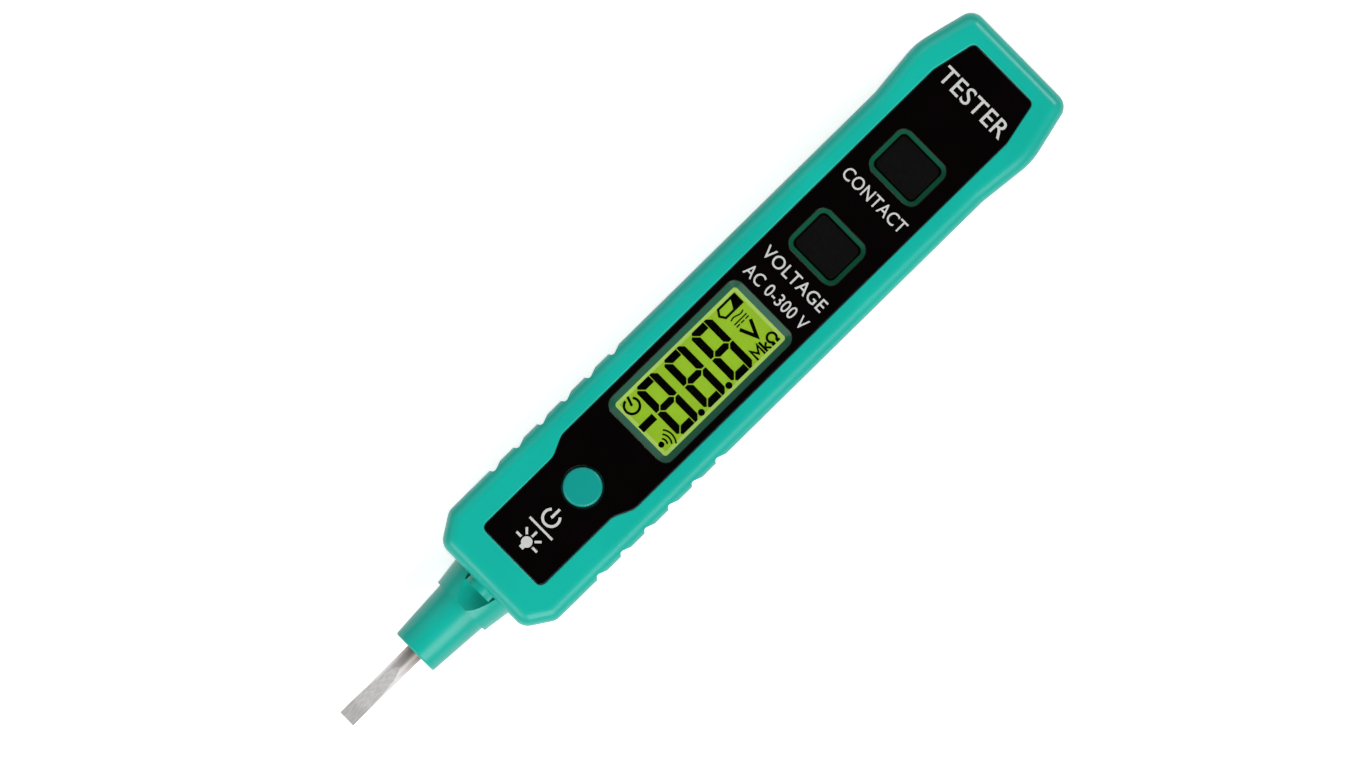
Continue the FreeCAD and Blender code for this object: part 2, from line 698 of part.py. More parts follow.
def nose_sleeve():
    body = new_body("nose_sleeve")
    profile = new_sketch(body, "profile", "XZ", lift="parting_height")
    add_outline(profile, [
        ("nose_x", "blade_radius"),
        ("nose_x", "nose_tip_radius", "sleeve_round"),
        ("step_x", "sleeve_root_radius"),
        ("step_x", "neck_radius"),
        ("sleeve_end_x - flange_thickness", "neck_radius"),
        ("sleeve_end_x - flange_thickness", "flange_radius"),
        ("sleeve_end_x", "flange_radius"),
        ("sleeve_end_x", "blade_radius"),
    ])
    turned(body, "Revolution", "sleeve", profile)
    return body


def blade():
    body = new_body("blade")
    section = add_circle(new_sketch(body, "section", "YZ", "tip_x"), "0", "parting_height", "blade_radius")
    pad(body, "shank", section, "blade_reach + nose_length + blade_tail")
    ground = new_sketch(body, "ground_flats", "XZ", lift="parting_height")
    for side in (-1, 1):
        add_outline(ground, [
            ("tip_x - over_cut", f"{side} * blade_tip_thickness / 2"),
            ("tip_x + blade_land", f"{side} * blade_tip_thickness / 2", "4 * blade_land"),
            ("tip_x + blade_flat_length", f"{side} * blade_radius"),
            ("tip_x + blade_flat_length", f"{side} * (blade_radius + over_cut)"),
            ("tip_x - over_cut", f"{side} * (blade_radius + over_cut)"),
        ], f"s{side + 1}")
    pocket(body, "flats", ground, "4 * blade_radius", both=True)
    return body


def probe_contact():
    """Bent strip between the blade's tail and the circuit board."""
    body = new_body("probe_contact")
    strip = new_sketch(body, "strip", "XZ")
    add_outline(strip, [
        ("tail_x - leaf_hold", "blade_top"),
        ("tail_x - leaf_hold", "blade_top + contact_plate"),
        ("tail_x - leaf_bend - contact_plate", "blade_top + contact_plate"),
        ("tail_x + leaf_bend - contact_plate", "board_bottom"),
        ("tail_x + leaf_foot", "board_bottom"),
        ("tail_x + leaf_foot", "board_bottom - contact_plate"),
        ("tail_x + leaf_bend", "board_bottom - contact_plate"),
        ("tail_x - leaf_bend", "blade_top"),
    ])
    pad(body, "leaf", strip, "1.6 * blade_radius", both=True)
    return body


def torch_led():
    body = new_body("torch_led")
    profile = new_sketch(body, "profile", "XZ", lift="led_z")
    add_outline(profile, [
        ("led_rim_x - led_length", "0"),
        ("led_rim_x - led_length", "led_radius", "0.95 * led_radius"),
        ("led_rim_x", "led_radius"),
        ("led_rim_x", "led_rim_radius"),
        ("led_rim_x + led_rim", "led_rim_radius"),
        ("led_rim_x + led_rim", "0"),
    ])
    turned(body, "Revolution", "lens", profile)
    return body


def blocks(label, spots, length, width, height, bottom):
    """Separate blocks of one size, each about its own (x, y) and standing on bottom."""
    boxes = []
    for i, (x, y) in enumerate(spots):
        box = doc.addObject("Part::Box", f"{label}_{i}")
        bind(box, Length=length, Width=width, Height=height, Placement__Base__x=f"{x} - ({length}) / 2",
             Placement__Base__y=f"{y} - ({width}) / 2", Placement__Base__z=bottom)
        boxes.append(box)
    return group(label, boxes)


def group(label, members):
    made = doc.addObject("Part::Compound", label)
    made.Label = label
    made.Links = members
    doc.recompute()
    return made


def torch_led_leads():
    length = "board_front_x - led_rim_x - led_rim + led_lead_on_board"
    spots = [(f"led_rim_x + led_rim + ({length}) / 2", f"{side} * led_lead_pitch / 2") for side in (-1, 1)]
    return blocks("torch_led_leads", spots, length, "led_lead", "led_lead", "led_z - led_lead / 2")


# ---- face and display ----

def faceplate():
    body = new_body("faceplate")
    outline = add_outline(new_sketch(body, "outline", level="label_floor"), label_corners())
    pad(body, "sheet", outline, "label_thickness")
    ways = new_sketch(body, "ways", level="label_floor")
    add_outline(ways, display_corners("well_border"), "d")
    for i, place in enumerate(KEY_PLACES):
        add_outline(ways, key_corners(place, "key_gap + key_border", "key_corner + key_border"), f"k{i}")
    add_circle(ways, "button_x", "0", "button_radius + 2 * button_gap")
    pocket(body, "openings", ways, "label_thickness", back=True)
    rounded(body, "top_edge", "label_thickness / 3",
            lambda edge: lies_at(edge, mm("label_floor + label_thickness")))
    return body


def display_window():
    body = new_body("display_window")
    outline = add_outline(new_sketch(body, "outline", level="ceiling"),
                          display_corners("window_overlap - fit_gap", "well_corner"))
    pad(body, "pane", outline, "window_thickness")
    return body


def display_gasket():
    body = new_body("display_gasket")
    ring = new_sketch(body, "ring", level="glass_top")
    add_outline(ring, display_corners("gasket_band"), "o")
    add_outline(ring, display_corners("0.1 * gasket_band", "well_corner / 3"), "i")
    pad(body, "foam", ring, "gasket_thickness")
    return body


def lcd_panel():
    """Two panes, the front one wider so that its ledges reach over the contact strips."""
    body = new_body("lcd_panel")
    back = add_outline(new_sketch(body, "back_outline", level="glass_bottom"),
                       rectangle("display_x", "0", "glass_length", "glass_width"))
    pad(body, "back_pane", back, "glass_thickness")
    front = add_outline(new_sketch(body, "front_outline", level="glass_bottom + glass_thickness"),
                        rectangle("display_x", "0", "glass_length", "glass_width + 2 * glass_ledge"))
    pad(body, "front_pane", front, "glass_thickness")
    return body


def display_frame():
    body = new_body("display_frame")
    ring = new_sketch(body, "ring", level="board_top")
    add_outline(ring, rectangle("display_x", "0", "glass_length + 2 * (frame_gap + frame_wall)",
                                "glass_width + 2 * (glass_ledge + frame_gap + frame_wall)", "frame_wall"), "o")
    add_outline(ring, rectangle("display_x", "0", "glass_length + 2 * frame_gap",
                                "glass_width + 2 * (glass_ledge + frame_gap)"), "i")
    pad(body, "wall", ring, "glass_top - board_top - frame_gap")
    return body


def backlight_guide():
    body = new_body("backlight_guide")
    outline = add_outline(new_sketch(body, "outline", level="board_top"),
                          rectangle("display_x + guide_light_room / 2", "0", "glass_length - guide_light_room",
                                    "glass_width"))
    pad(body, "plate", outline, "guide_thickness")
    return body


def backlight_leds():
    spots = [("display_x - glass_length / 2 + guide_light_room / 2", f"{side} * glass_width / 4")
             for side in (-1, 1)]
    return blocks("backlight_leds", spots, "0.7 * guide_light_room", "1.4 * guide_light_room",
                  "0.6 * guide_thickness", "board_top")


def contact_strips():
    """Elastomer strips that join the glass's ledges to the board."""
    spots = [("display_x", f"{side} * (glass_width + glass_ledge) / 2") for side in (-1, 1)]
    return blocks("contact_strips", spots, "0.95 * glass_length", "0.8 * glass_ledge",
                  "guide_thickness + glass_thickness", "board_top")


# ---- board ----

def main_board():
    body = new_body("main_board")
    lower = [
        ("board_front_x", "-board_neck_half", "1"),
        ("front_boss_x + boss_radius + board_side_gap", "-board_neck_half", "1"),
        ("front_boss_x + boss_radius + board_side_gap", "-board_half", "1"),
        ("rear_boss_x - boss_radius - board_side_gap", "-board_half"),
        ("rear_boss_x - boss_radius - board_side_gap", "-(rear_boss_y - boss_radius - board_side_gap)"),
        ("rear_boss_x + boss_radius + board_side_gap", "-(rear_boss_y - boss_radius - board_side_gap)"),
        ("rear_boss_x + boss_radius + board_side_gap", "-board_half"),
        ("board_rear_x", "-board_half", "1"),
    ]
    outline = add_outline(new_sketch(body, "outline", level="board_bottom"), mirrored(lower))
    pad(body, "board", outline, "board_thickness")
    holes = new_sketch(body, "holes", level="board_bottom")
    for i, (x, y) in enumerate(BOARD_POSTS):
        add_circle(holes, x, y, "board_screw_radius + 2 * fit_gap", f"p{i}")
    for i, side in enumerate((-1, 1)):
        add_circle(holes, "resistor_x", f"{side} * resistor_reach", "resistor_wire + fit_gap", f"r{i}")
        add_outline(holes, rectangle("bay_x + contact_plate / 2", f"{side} * cell_y",
                                     "contact_plate + 2 * fit_gap", "plate_tab + 2 * fit_gap"), f"t{i}")
    pocket(body, "drilled", holes, "board_thickness", back=True)
    return body


def underside(label, spots, length, width, height):
    """Blocks soldered to the board's lower face."""
    return blocks(label, spots, length, width, height, f"board_bottom - {height}")


def controller_pins():
    boxes = []
    reach = "(chip_side + pin_length) / 2"
    for i in range(11):
        along = f"{i - 5} * pin_pitch"
        for side in (-1, 1):
            ends = [(f"chip_x + {side} * {reach}", along, "pin_length", "pin_pitch / 2"),
                    (f"chip_x + {along}", f"{side} * {reach}", "pin_pitch / 2", "pin_length")]
            for x, y, length, width in ends:
                pin = doc.addObject("Part::Box", "pin")
                bind(pin, Length=length, Width=width, Height="pin_pitch / 3",
                     Placement__Base__x=f"{x} - {length} / 2", Placement__Base__y=f"{y} - {width} / 2",
                     Placement__Base__z="board_bottom - pin_pitch / 3")
                boxes.append(pin)
    return group("controller_pins", boxes)


def safety_resistor():
    """The high-voltage resistor that the probe's current runs through."""
    body = new_body("safety_resistor")
    ends = "2 * resistor_reach + 2 * resistor_wire"
    wire = add_circle(new_sketch(body, "wire_section", "XZ", f"-({ends}) / 2"), "resistor_x", "resistor_z",
                      "resistor_wire")
    pad(body, "wire", wire, ends)
    tube = add_circle(new_sketch(body, "tube_section", "XZ"), "resistor_x", "resistor_z", "resistor_radius")
    pad(body, "tube", tube, "resistor_length", both=True)
    legs = new_sketch(body, "legs", level="resistor_z")
    for i, side in enumerate((-1, 1)):
        add_circle(legs, "resistor_x", f"{side} * resistor_reach", "resistor_wire", f"r{i}")
    pad(body, "bent_ends", legs, "board_top - resistor_z + resistor_wire")
    return body


def buzzer():
    body = new_body("buzzer")
    ring = add_circle(new_sketch(body, "outline", level="board_bottom"), "buzzer_x", "0", "buzzer_radius")
    pad(body, "case", ring, "buzzer_height", back=True)
    mouth = add_circle(new_sketch(body, "mouth_outline", level="board_bottom - buzzer_height"), "buzzer_x",
                       "0", "buzzer_radius / 5")
    pocket(body, "mouth", mouth, "buzzer_height / 2", back=True)
    return body


# ---- button and keys ----

def tact_switch():
    body = new_body("tact_switch")
    outline = add_outline(new_sketch(body, "outline", level="board_top"),
                          rectangle("button_x", "0", "switch_side", "switch_side"))
    pad(body, "case", outline, "switch_height")
    bore = add_circle(new_sketch(body, "bore_outline", level="switch_top"), "button_x", "0",
                      "plunger_radius + fit_gap")
    pocket(body, "bore", bore, "0.8 * switch_height")
    return body


def tact_plunger():
    body = new_body("tact_plunger")
    section = add_circle(new_sketch(body, "section", level="switch_top - 0.2 * switch_height"), "button_x",
                         "0",
                         "plunger_radius")
    pad(body, "pin", section, "plunger_height + 0.2 * switch_height")
    return body


def power_button():
    body = new_body("power_button")
    stem = add_circle(new_sketch(body, "stem_section", level="switch_top + plunger_height"), "button_x", "0",
                      "1.3 * plunger_radius")
    pad(body, "stem", stem, "button_bottom - switch_top - plunger_height")
    flange = add_circle(new_sketch(body, "flange_outline", level="button_bottom"), "button_x", "0",
                        "button_radius + button_flange")
    pad(body, "flange", flange, "button_flange_thickness")
    cap = add_circle(new_sketch(body, "cap_section", level="button_bottom"), "button_x", "0", "button_radius")
    pad(body, "cap", cap, "body_height + button_proud - button_bottom")
    rounded(body, "cap_edge", "button_proud", lambda edge: lies_at(edge, mm("body_height + button_proud")))
    return body


def touch_key(label, place):
    body = new_body(label)
    flange = add_outline(new_sketch(body, "flange_outline", level="key_bottom"),
                         key_corners(place, "key_flange", "key_corner"))
    pad(body, "flange", flange, "key_flange_thickness")
    top = add_outline(new_sketch(body, "top_outline", level="key_bottom"),
                      key_corners(place, "0", "key_corner"))
    pad(body, "top", top, "key_flange_thickness + key_rise")
    rounded(body, "top_edge", "key_rise / 4", lambda edge: lies_at(edge, mm("ceiling + key_rise")))
    peg = add_circle(new_sketch(body, "peg_section", level="key_bottom"), place, "0",
                     "key_spring_radius - 3 * key_spring_wire")
    pad(body, "peg", peg, "(key_bottom - board_top) / 2", back=True)
    return body


def coil(label, radius, wire, length, turns, place, turn=Rotation()):
    """A coil spring of the given overall length that starts at place and runs along its own Z."""
    path = doc.addObject("Part::Helix", label + "_path")
    bind(path, Radius=radius, Height=f"{length} - 2 * {wire}", Pitch=f"({length} - 2 * {wire}) / ({turns})")
    path.SegmentLength = 0.5
    section = doc.addObject("Part::Circle", label + "_section")
    bind(section, Radius=wire, Placement__Base__x=radius)
    section.Placement.Rotation = Rotation(Vector(1, 0, 0), 90)
    spring = doc.addObject("Part::Sweep", label)
    spring.Sections, spring.Spine = [section], (path, [])
    spring.Solid, spring.Frenet = True, True
    spring.Label = label
    spring.Placement.Rotation = turn
    lift = turn.multVec(Vector(0, 0, 1))
    bind(spring, Placement__Base__x=f"{place[0]} + {lift.x} * {wire}", Placement__Base__y=f"{place[1]}",
         Placement__Base__z=f"{place[2]} + {lift.z} * {wire}")
    return spring


# ---- power cells ----

def cell(label, front, side, nub_first):
    """A round cell. front is where its can starts, side is which half of the bay it lies in."""
    body = new_body(label)
    can = "cell_length - cell_nub_length"
    section = add_circle(new_sketch(body, "can_section", "YZ", front), f"{side} * cell_y", "cell_height",
                         "cell_radius")
    pad(body, "can", section, can)
    rounded(body, "can_edges", "cell_edge", lambda edge: edge.Length > 1 and len(edge.Vertexes) == 1)
    nub = add_circle(new_sketch(body, "nub_section", "YZ", front if nub_first else f"{front} + {can}"),
                     f"{side} * cell_y", "cell_height", "cell_nub_radius")
    pad(body, "nub", nub, "cell_nub_length", back=nub_first)
    return body


def contact_plate(label, front, corners, tab_side=None):
    """A flat metal plate across the bay, with a tab up to the board if tab_side is given."""
    body = new_body(label)
    pad(body, "sheet", add_outline(new_sketch(body, "outline", "YZ", front), corners), "contact_plate")
    if tab_side is not None:
        tab = add_outline(new_sketch(body, "tab_outline", "YZ", front),
                          rectangle(f"{tab_side} * cell_y", "(cell_height + board_top + tab_past_board) / 2",
                                    "plate_tab",
                                    "board_top + tab_past_board - cell_height"))
        pad(body, "tab", tab, "contact_plate")
    return body


def screws(label, spots, head_z, head_radius, head_height, shank_radius, reach):
    """Pan-head screws driven upwards, with their heads' upper faces at head_z."""
    body = new_body(label)
    body.AllowCompound = True
    heads = new_sketch(body, "head_sections", level=head_z)
    shanks = new_sketch(body, "shank_sections", level=head_z)
    slots = new_sketch(body, "slot_outlines", level=f"{head_z} - ({head_height})")
    for i, (x, y) in enumerate(spots):
        add_circle(heads, x, y, head_radius, f"h{i}")
        add_circle(shanks, x, y, shank_radius, f"k{i}")
        arm, thin = f"0.6 * {head_radius}", f"0.15 * {head_radius}"
        add_outline(slots, [(f"{x} + {a}", f"{y} + {b}") for a, b in (
            (arm, f"-{thin}"), (arm, thin), (thin, thin), (thin, arm), (f"-{thin}", arm), (f"-{thin}", thin),
            (f"-{arm}", thin), (f"-{arm}", f"-{thin}"), (f"-{thin}", f"-{thin}"), (f"-{thin}", f"-{arm}"),
            (thin, f"-{arm}"), (thin, f"-{thin}"))], f"c{i}")
    pad(body, "heads", heads, head_height, back=True)
    pad(body, "shanks", shanks, reach)
    pocket(body, "drive_slots", slots, f"0.6 * {head_height}", back=True)
    return body


front_shell()
rear_shell()
battery_cover()
nose_sleeve()
blade()
probe_contact()
torch_led()
torch_led_leads()
faceplate()
display_window()
display_gasket()
lcd_panel()
display_frame()
backlight_guide()
backlight_leds()
contact_strips()
main_board()
underside("controller_chip", [("chip_x", "0")], "chip_side", "chip_side", "chip_height")
controller_pins()
for name, start, along, across, height in (
    ("board_capacitors", "small_part_start", "small_part_long", "small_part_short", "small_part_short"),
    ("board_resistors", "thin_part_start", "small_part_short", "small_part_long", "thin_part_height"),
):
    spots = [(f"chip_x - {start} + {i} * small_part_pitch", f"{side} * small_part_side")
             for i in range(5) for side in (-1, 1)]
    underside(name, spots, along, across, height)
underside("crystal", [("chip_x - crystal_from_chip", "0")], "crystal_length", "crystal_width",
          "small_part_short")
safety_resistor()
buzzer()
tact_switch()
tact_plunger()
power_button()
touch_key("voltage_pad", "key_one_x")
touch_key("continuity_pad", "key_two_x")
for name, place in (("voltage_pad_spring", "key_one_x"), ("continuity_pad_spring", "key_two_x")):
    coil(name, "key_spring_radius", "key_spring_wire", "(key_bottom - board_top)", "spring_turns",
         (place, "0", "board_top"))
cell("battery_left", "bay_x + contact_plate + cell_nub_length", 1, True)
cell("battery_right", "bay_x + contact_plate + cell_spring_room", -1, False)
ALONG = Rotation(Vector(0, 1, 0), 90)
coil("battery_spring_front", "cell_spring_radius", "cell_spring_wire", "cell_spring_room", "cell_spring_turns",
     ("bay_x + contact_plate", "-cell_y", "cell_height"), ALONG)
coil("battery_spring_rear", "cell_spring_radius", "cell_spring_wire", "cell_spring_room", "cell_spring_turns",
     ("bay_x + contact_plate + cell_length", "cell_y", "cell_height"), ALONG)
for name, side in (("battery_plate_positive", 1), ("battery_plate_negative", -1)):
    contact_plate(name, "bay_x", rectangle(f"{side} * cell_y", "cell_height", "1.4 * cell_radius",
                                           "1.4 * cell_radius"), side)
contact_plate("battery_link_plate", "bay_rear_x - contact_plate",
              rectangle("0", "cell_height - link_drop", "3.2 * cell_radius", "1.1 * cell_radius"))
screws("shell_screws", BOSSES, "screw_seat", "screw_head_radius", "screw_head_height", "screw_radius",
       "parting_height - screw_seat + screw_reach")
screws("board_screws", BOARD_POSTS, "board_bottom", "board_screw_head", "board_screw_height", "board_screw_radius",
       "board_thickness + board_screw_reach")
doc.recompute()

# ---- files ----

FAULTS = {"Invalid", "Error"}
for thing in doc.Objects:
    assert not FAULTS & set(thing.State), f"{thing.Label}: {thing.State}"
PIECES = [o for o in doc.Objects if o.TypeId in ("PartDesign::Body", "Part::Compound", "Part::Sweep")]
os.makedirs("parts", exist_ok=True)
for piece in PIECES:
    assert not piece.Shape.isNull() and piece.Shape.isValid() and piece.Shape.Solids, piece.Label
    piece.Shape.exportStep(f"parts/{piece.Label}.step")
print(len(PIECES), "nodes written")
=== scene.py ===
import math
import bmesh
import bpy
from mathutils import Matrix, Vector


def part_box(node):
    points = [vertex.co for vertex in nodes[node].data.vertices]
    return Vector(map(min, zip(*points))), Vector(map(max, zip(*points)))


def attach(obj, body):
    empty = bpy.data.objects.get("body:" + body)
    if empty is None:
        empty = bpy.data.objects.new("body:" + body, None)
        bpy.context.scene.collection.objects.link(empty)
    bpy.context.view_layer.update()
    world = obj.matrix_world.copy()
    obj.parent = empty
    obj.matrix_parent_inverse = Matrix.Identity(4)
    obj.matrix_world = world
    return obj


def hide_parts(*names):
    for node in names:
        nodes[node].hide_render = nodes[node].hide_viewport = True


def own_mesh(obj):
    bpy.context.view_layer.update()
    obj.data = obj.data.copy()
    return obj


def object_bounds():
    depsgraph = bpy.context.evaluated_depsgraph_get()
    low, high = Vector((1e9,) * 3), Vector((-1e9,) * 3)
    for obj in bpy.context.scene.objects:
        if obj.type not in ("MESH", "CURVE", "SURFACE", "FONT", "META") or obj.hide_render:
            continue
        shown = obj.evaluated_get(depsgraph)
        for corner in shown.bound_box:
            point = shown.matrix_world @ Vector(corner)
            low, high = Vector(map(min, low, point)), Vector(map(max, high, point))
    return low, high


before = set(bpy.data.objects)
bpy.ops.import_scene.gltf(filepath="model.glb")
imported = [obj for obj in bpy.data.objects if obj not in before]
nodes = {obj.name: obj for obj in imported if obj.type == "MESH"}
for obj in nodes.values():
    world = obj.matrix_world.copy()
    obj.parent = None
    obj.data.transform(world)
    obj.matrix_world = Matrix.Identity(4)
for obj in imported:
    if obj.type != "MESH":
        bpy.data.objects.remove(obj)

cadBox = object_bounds()
mm = 0.001
scene = bpy.context.scene
print("frame loaded:", len(nodes), "nodes")


def addObject(name, data):
    thing = bpy.data.objects.new(name, data)
    scene.collection.objects.link(thing)
    return thing


# colour, nodes and patterns

def linear(hexCode):    # sRGB hex to linear light
    steps = [int(hexCode[i:i + 2], 16) / 255 for i in (1, 3, 5)]
    return tuple(c / 12.92 if c <= 0.04045 else ((c + 0.055) / 1.055) ** 2.4 for c in steps) + (1.0,)


def addNode(tree, kind, links=None, inputs=None, stops=None, **settings):
    node = tree.nodes.new(kind)
    for name, value in settings.items():
        setattr(node, name, value)
    for count, (position, hexCode) in enumerate(stops or []):    # colours along a ramp, its two ends first
        stop = node.color_ramp.elements[count] if count < 2 else node.color_ramp.elements.new(position)
        stop.position = position
        stop.color = linear(hexCode)
    for name, value in (inputs or {}).items():
        node.inputs[name].default_value = value
    for name, source in (links or {}).items():
        tree.links.new(source, node.inputs[name])
    return node


def startMaterial(name, hexCode, metallic=0.0, roughness=0.5, **settings):
    material = bpy.data.materials.new(name)
    material.use_nodes = True
    tree = material.node_tree
    shader = tree.nodes["Principled BSDF"]
    shader.inputs["Base Color"].default_value = linear(hexCode)
    shader.inputs["Metallic"].default_value = metallic
    shader.inputs["Roughness"].default_value = roughness
    for socket, value in settings.items():
        shader.inputs[socket.replace("_", " ")].default_value = value
    return material, tree, shader


def positions(tree, stretch=(1, 1, 1)):    # metres from the frame's origin, so patterns keep their real size
    coords = addNode(tree, "ShaderNodeTexCoord").outputs["Object"]
    return addNode(tree, "ShaderNodeMapping", {"Vector": coords}, {"Scale": stretch}).outputs["Vector"]


def grainPattern(tree, sizeMm, stretch=(1, 1, 1)):    # soft lumps about sizeMm across
    return addNode(tree, "ShaderNodeTexNoise", {"Vector": positions(tree, stretch)},
                   {"Scale": 1 / (sizeMm * mm), "Detail": 2.0}).outputs[0]


def dress(tree, shader, pattern, tones=None, roughness=None, depthMm=None):
    # one pattern can drive a surface's tone, its sheen and its relief together
    if tones:
        ramp = addNode(tree, "ShaderNodeValToRGB", {"Fac": pattern}, stops=tones)
        tree.links.new(ramp.outputs["Color"], shader.inputs["Base Color"])
    if roughness:
        spread = addNode(tree, "ShaderNodeMapRange", {"Value": pattern},
                         {"To Min": roughness[0], "To Max": roughness[1]})
        tree.links.new(spread.outputs["Result"], shader.inputs["Roughness"])
    if depthMm:
        relief = addNode(tree, "ShaderNodeBump", {"Height": pattern}, {"Distance": depthMm * mm})
        tree.links.new(relief.outputs["Normal"], shader.inputs["Normal"])


def tintWhere(tree, shader, share, hexCode):    # lays a colour over the tone already there
    under = shader.inputs["Base Color"].links[0].from_socket
    tinted = addNode(tree, "ShaderNodeMix", {0: share, 6: under}, {7: linear(hexCode)}, data_type="RGBA")
    tree.links.new(tinted.outputs[2], shader.inputs["Base Color"])


def insideBox(tree, centre, half):    # 1 inside the box, 0 outside it
    axes = addNode(tree, "ShaderNodeSeparateXYZ", {"Vector": positions(tree)})
    found = None
    for axis in range(3):
        near = addNode(tree, "ShaderNodeMath", {0: axes.outputs[axis]}, {1: centre[axis], 2: half[axis]},
                       operation="COMPARE").outputs[0]
        found = near if found is None else addNode(tree, "ShaderNodeMath", {0: found, 1: near},
                                                   operation="MULTIPLY").outputs[0]
    return found


# materials

absSkin = {
    "light": "#12b8a6", "dark": "#0fb09f", "buttonLight": "#0f9d93", "buttonDark": "#0d978d",
    "flowMm": 18.0,
    "grainMm": 0.25,    # real spark-eroded pits are about 0.05 mm, drawn coarser so that they show
    "depthMm": 0.006, "roughness": (0.26, 0.35),
    # painted shade: a darker teal painted on the casing in a box under the faceplate, standing for the shade in
    # the display and key wells
    "well": "#0c583f", "wellMiddleMm": 0.7, "wellHalfMm": 0.78,    # from the faceplate's underside
}
plateLow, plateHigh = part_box("faceplate")


def tealAbs(name, light, dark, well=None):
    # injection-moulded ABS from a spark-eroded mould: an even satin skin with soft broad highlights
    material, tree, shader = startMaterial(name, light, Specular_IOR_Level=0.35)
    dress(tree, shader, grainPattern(tree, absSkin["flowMm"]), tones=[(0.3, dark), (0.7, light)])
    if well:    # painted shade: the wells sit in the faceplate's shade and collect light only from above, so a darker teal is painted there
        centre = Vector(((plateLow.x + plateHigh.x) / 2, 0, plateLow.z - absSkin["wellMiddleMm"] * mm))
        half = Vector(((plateHigh.x - plateLow.x) / 2, plateHigh.y, absSkin["wellHalfMm"] * mm))
        tintWhere(tree, shader, insideBox(tree, centre, half), well)
    dress(tree, shader, grainPattern(tree, absSkin["grainMm"]), roughness=absSkin["roughness"],
          depthMm=absSkin["depthMm"])
    return material


steel = {
    "bright": "#e0dddd", "dull": "#cac6c7",
    "lineMm": 0.12, "lineStretch": 0.06,    # real grinding lines are about 0.03 mm, drawn coarser
    "depthMm": 0.004, "roughness": (0.5, 0.64),
    # painted shade: a darker, warmer tone laid on the blade over the last millimetres before the sleeve's mouth
    "mouthShade": "#94827a", "mouthShadeMm": 4.5, "mouthShadeShare": 0.85,
}


def groundSteel():
    # chrome-vanadium blade, ground then nickel plated: pale and even, with fine lines along it,
    # painted shade: darker and warmer towards the sleeve's mouth, where the sleeve shades it
    material, tree, shader = startMaterial("ground plated steel", steel["bright"], metallic=1.0)
    lines = grainPattern(tree, steel["lineMm"], (steel["lineStretch"], 1, 1))
    dress(tree, shader, lines, [(0.35, steel["dull"]), (0.65, steel["bright"])], steel["roughness"],
          steel["depthMm"])
    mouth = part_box("nose_sleeve")[0].x
    axes = addNode(tree, "ShaderNodeSeparateXYZ", {"Vector": positions(tree)})
    shade = addNode(tree, "ShaderNodeMapRange", {"Value": axes.outputs[0]},
                    {"From Min": mouth - steel["mouthShadeMm"] * mm, "From Max": mouth, "To Max": steel["mouthShadeShare"]})
    tintWhere(tree, shader, shade.outputs[0], steel["mouthShade"])
    return material


label = {"dark": "#030101", "pale": "#060203", "cloudMm": 6.0, "skinMm": 0.5, "depthMm": 0.0008,
         "roughness": (0.16, 0.24)}


def blackLabel():
    # second-surface printed polycarbonate: deep flat black under a thin clear gloss
    material, tree, shader = startMaterial("printed polycarbonate label", label["pale"],
                                           Specular_IOR_Level=0.3, Coat_Weight=0.1, Coat_Roughness=0.1)
    dress(tree, shader, grainPattern(tree, label["cloudMm"]), tones=[(0.3, label["dark"]), (0.7, label["pale"])])
    dress(tree, shader, grainPattern(tree, label["skinMm"]), roughness=label["roughness"],
          depthMm=label["depthMm"])
    return material


def screenInk(name, thin, thick, meshMm, filmMm, **settings):
    # screen-printed ink: a matt film whose cover thins a little in the mesh openings,
    # which are really about 0.08 mm and are drawn coarser so that they show
    material, tree, shader = startMaterial(name, thick, roughness=0.62, **settings)
    dress(tree, shader, grainPattern(tree, meshMm), [(0.25, thin), (0.6, thick)], depthMm=filmMm)
    return material


lensSkin = {"tint": "#fbfdfb", "roughness": 0.02, "rippleMm": 9.0, "depthMm": 0.004}


def clearAcrylic():
    # polished acrylic lens: nearly invisible, with crisp thin reflections
    material, tree, shader = startMaterial("polished acrylic", lensSkin["tint"], roughness=lensSkin["roughness"],
                                           IOR=1.49, Transmission_Weight=1.0, Specular_IOR_Level=0.2)
    dress(tree, shader, grainPattern(tree, lensSkin["rippleMm"]), depthMm=lensSkin["depthMm"])
    return material


glow = {
    # painted highlight: the edge colour is a paler band painted into the glow along the glass's edge
    "middle": "#a3cf31", "deep": "#9dca2c", "edge": "#c2e673", "strength": 0.66, "driftMm": 7.0,
    "glass": "#6f8f1c", "skinMm": 0.4, "depthMm": 0.001,
    "edgeMm": 0.55, "rimMm": 1.0,    # the lens's outer rim is hidden under the well's lip
}


def litGlass():
    # polariser over a yellow-green backlight: even glow, with a painted highlight, a paler line along the edge
    material, tree, shader = startMaterial("backlit lcd glass", glow["glass"], roughness=0.25)
    low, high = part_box("display_window")
    inset = (glow["rimMm"] + glow["edgeMm"]) * mm
    half = Vector(((high.x - low.x) / 2 - inset, (high.y - low.y) / 2 - inset, 1))    # any height
    inner = insideBox(tree, Vector(((low.x + high.x) / 2, 0, 0)), half)
    drift = addNode(tree, "ShaderNodeValToRGB", {"Fac": grainPattern(tree, glow["driftMm"])},
                    stops=[(0.25, glow["deep"]), (0.75, glow["middle"])])
    # painted highlight: outside the inner box the glow takes the paler edge colour
    lit = addNode(tree, "ShaderNodeMix", {0: inner, 7: drift.outputs["Color"]}, {6: linear(glow["edge"])},
                  data_type="RGBA")
    tree.links.new(lit.outputs[2], shader.inputs["Emission Color"])
    shader.inputs["Emission Strength"].default_value = glow["strength"]
    dress(tree, shader, grainPattern(tree, glow["skinMm"]), depthMm=glow["depthMm"])
    return material


